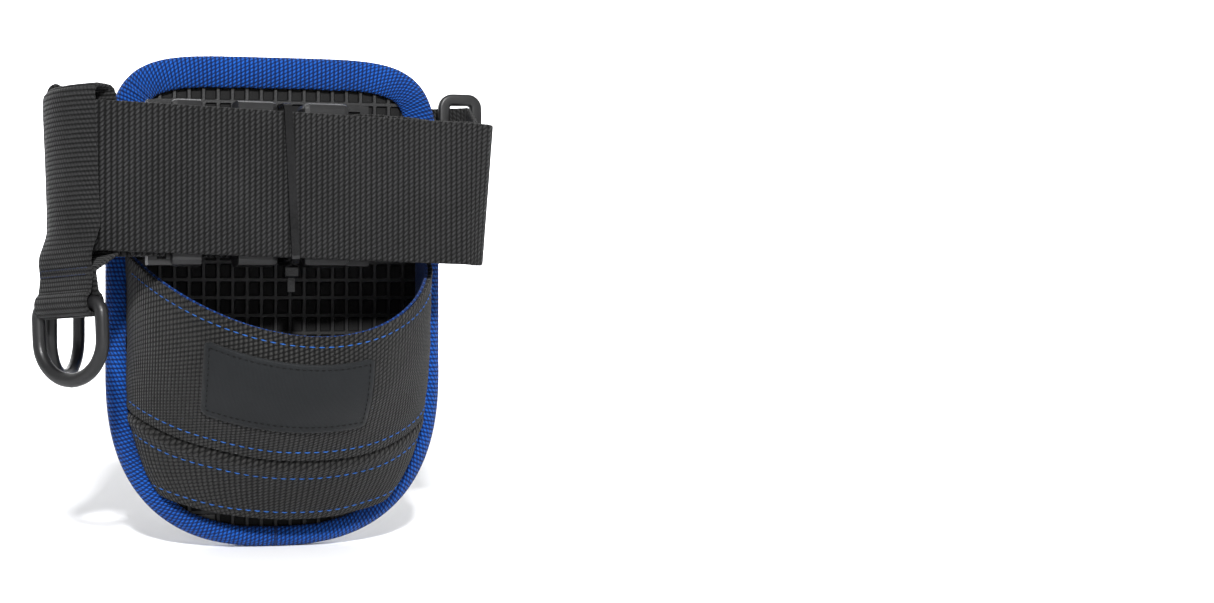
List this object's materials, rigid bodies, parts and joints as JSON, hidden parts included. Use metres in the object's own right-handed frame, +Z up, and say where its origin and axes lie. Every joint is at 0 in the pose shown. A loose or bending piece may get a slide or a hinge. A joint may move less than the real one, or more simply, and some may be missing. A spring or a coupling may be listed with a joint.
{
  "type": "rod bucket pad on a waist belt",
  "caption": "Padded tapered cup with a blue bound edge on a folded waist belt with a side-release buckle, two strap rings and hanging D-rings.",
  "frame": {"origin": "middle of the belt's flat back face, where the pad lies against the wearer: on the pad's centre plane, 140.3 mm above the bottom of its edge binding", "axes": "+X to the right seen from the cup side, +Y from the cup to the wearer (out of the leatherette back), +Z up"},
  "size_m": [0.171, 0.0759, 0.182],
  "materials": {
    "webbing_black": "woven, matte",
    "webbing_blue": "woven, matte",
    "leatherette": "grained, satin",
    "rubber_black": "matte",
    "foam": "hidden foam",
    "board": "hidden sheet",
    "plastic_black": "satin, moulded",
    "label": "fine woven patch, blank"
  },
  "bodies": {
    "pad": {"back_cover": "leatherette", "foam_pad": "foam", "backing_board": "board", "grip_mat": "rubber_black", "edge_binding": "webbing_blue", "pocket_upper_band": "webbing_black", "pocket_lower_band": "webbing_black", "pocket_lining": "webbing_blue", "drain_mesh": "rubber_black", "label_patch": "label", "belt_webbing": "webbing_black", "buckle_socket": "plastic_black", "hanger_loop_front": "webbing_black", "hanger_loop_rear": "webbing_black", "cable_tie_band": "plastic_black", "cable_tie_head": "plastic_black"},
    "ring_left": {"ring_left": "plastic_black"},
    "ring_right": {"ring_right": "plastic_black"},
    "d_ring_front": {"d_ring_front": "plastic_black"},
    "d_ring_rear": {"d_ring_rear": "plastic_black"},
    "buckle_plug": {"buckle_plug": "plastic_black", "belt_plug_loop": "webbing_black"},
    "prong_upper": {"plug_prong_upper": "plastic_black"},
    "prong_lower": {"plug_prong_lower": "plastic_black"}
  },
  "joints": [
    {"name": "ring_left_swing", "type": "hinge", "parent": "pad", "child": "ring_left", "pos_m": [-0.0675, -0.0079, -0.0004], "axis": [0, 0, 1], "range_deg": [-1, 25]},
    {"name": "ring_right_swing", "type": "hinge", "parent": "pad", "child": "ring_right", "pos_m": [0.072, -0.0089, -0.0004], "axis": [0, 0, 1], "range_deg": [-4, 55]},
    {"name": "d_ring_front_swing", "type": "hinge", "parent": "pad", "child": "d_ring_front", "pos_m": [-0.07834, -0.05866, -0.05024], "axis": [-0.6421, 0.7649, -0.0523], "range_deg": [-15, 75]},
    {"name": "d_ring_rear_swing", "type": "hinge", "parent": "pad", "child": "d_ring_rear", "pos_m": [-0.0782, -0.0257, -0.0503], "axis": [0.355, 0.9349, 0], "range_deg": [-30, 75]},
    {"name": "plug_slide", "type": "slide", "parent": "pad", "child": "buckle_plug", "axis": [0.9963, 0.0854, 0], "range_m": [0, 0.034]},
    {"name": "prong_upper_flex", "type": "hinge", "parent": "buckle_plug", "child": "prong_upper", "pos_m": [0.00158, -0.04884, 0.0078], "axis": [-0.0854, 0.9963, 0], "range_deg": [-6, 0], "stiffness_Nm_per_rad": 0.05},
    {"name": "prong_lower_flex", "type": "hinge", "parent": "buckle_plug", "child": "prong_lower", "pos_m": [0.00158, -0.04884, -0.0254], "axis": [-0.0854, 0.9963, 0], "range_deg": [0, 6], "stiffness_Nm_per_rad": 0.05}
  ],
  "couplings": [
    {"joint": "prong_lower_flex", "follows": "prong_upper_flex", "ratio": -1}
  ]
}
